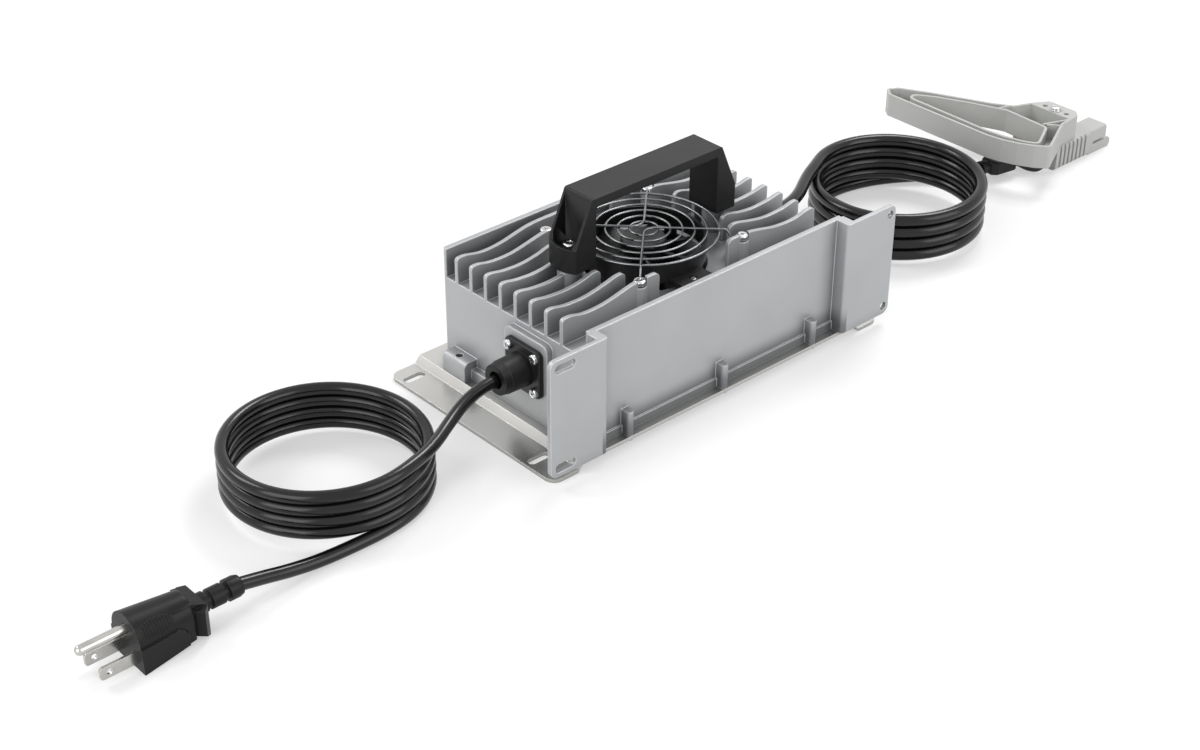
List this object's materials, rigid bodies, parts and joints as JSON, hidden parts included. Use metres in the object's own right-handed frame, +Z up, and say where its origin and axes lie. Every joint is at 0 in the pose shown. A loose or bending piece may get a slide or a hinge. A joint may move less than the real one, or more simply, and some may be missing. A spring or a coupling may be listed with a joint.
{
  "type": "lithium battery charger",
  "caption": "Fan-cooled battery charger in a finned aluminium casting on a folded foot plate, with carrying handle, coiled mains lead and output lead with gripped connector.",
  "frame": {"origin": "middle of the four foot slots, on the underside of the foot plate", "axes": "+X along the casting towards the output end, +Y towards the long side without flanges, +Z up"},
  "size_m": [0.7573, 0.1592, 0.1097],
  "materials": {
    "plate_aluminium": "bright rolled sheet, faint rolling grain",
    "cast_aluminium": "satin, fine bead-blasted casting",
    "screw_steel": "plain zinc plate",
    "bright_steel": "bright nickel plate",
    "fan_plastic": "black moulded, slight sheen",
    "chromed_wire": "bright chromed wire",
    "handle_plastic": "black moulded, fine matte grain",
    "gland_plastic": "black moulded, satin",
    "gasket_rubber": "black sheet rubber",
    "board_laminate": "green glass laminate",
    "ferrite": "dark grey ferrite",
    "winding_copper": "varnished copper wire",
    "capacitor_sleeve": "dark shrunk sleeve",
    "transistor_case": "black epoxy case",
    "cord_sheath": "black sheath, soft sheen",
    "plug_vinyl": "black moulded vinyl",
    "plated_brass": "nickel-plated brass",
    "boot_rubber": "black moulded boot",
    "black_sleeve": "black silicone wire",
    "red_sleeve": "red silicone wire",
    "connector_grey": "light grey moulded polycarbonate"
  },
  "bodies": {
    "charger": {"base_plate": "plate_aluminium", "housing": "cast_aluminium", "base_screws": "screw_steel", "fan_screws": "screw_steel", "guard_screws": "bright_steel", "handle_screws": "bright_steel", "input_gland_screws": "bright_steel", "output_gland_screws": "bright_steel", "board_screws": "screw_steel", "fan_frame": "fan_plastic", "fan_guard": "chromed_wire", "handle": "handle_plastic", "input_gasket": "gasket_rubber", "output_gasket": "gasket_rubber", "input_gland": "gland_plastic", "output_gland": "gland_plastic", "circuit_board": "board_laminate", "board_standoffs": "screw_steel", "transformer_core": "ferrite", "transformer_winding": "winding_copper", "capacitors": "capacitor_sleeve", "choke": "winding_copper", "heat_bar": "plate_aluminium", "power_transistors": "transistor_case", "input_lead": "cord_sheath", "input_coil": "cord_sheath", "input_tail": "cord_sheath", "output_lead": "cord_sheath", "output_coil": "cord_sheath", "output_tail": "cord_sheath", "plug_strain_relief": "plug_vinyl", "plug_body": "plug_vinyl", "plug_blades": "plated_brass", "earth_pin": "plated_brass", "cord_boot": "boot_rubber", "black_lead": "black_sleeve", "red_lead": "red_sleeve", "connector_housing": "connector_grey", "connector_grip": "connector_grey", "connector_contacts": "plated_brass", "grip_washer": "bright_steel", "grip_screw": "bright_steel"},
    "rotor": {"fan_rotor": "fan_plastic"}
  },
  "joints": [
    {"name": "fan_spin", "type": "hinge", "parent": "charger", "child": "rotor", "pos_m": [0, -0.0067, 0.055], "axis": [0, 0, 1], "continuous": true}
  ]
}
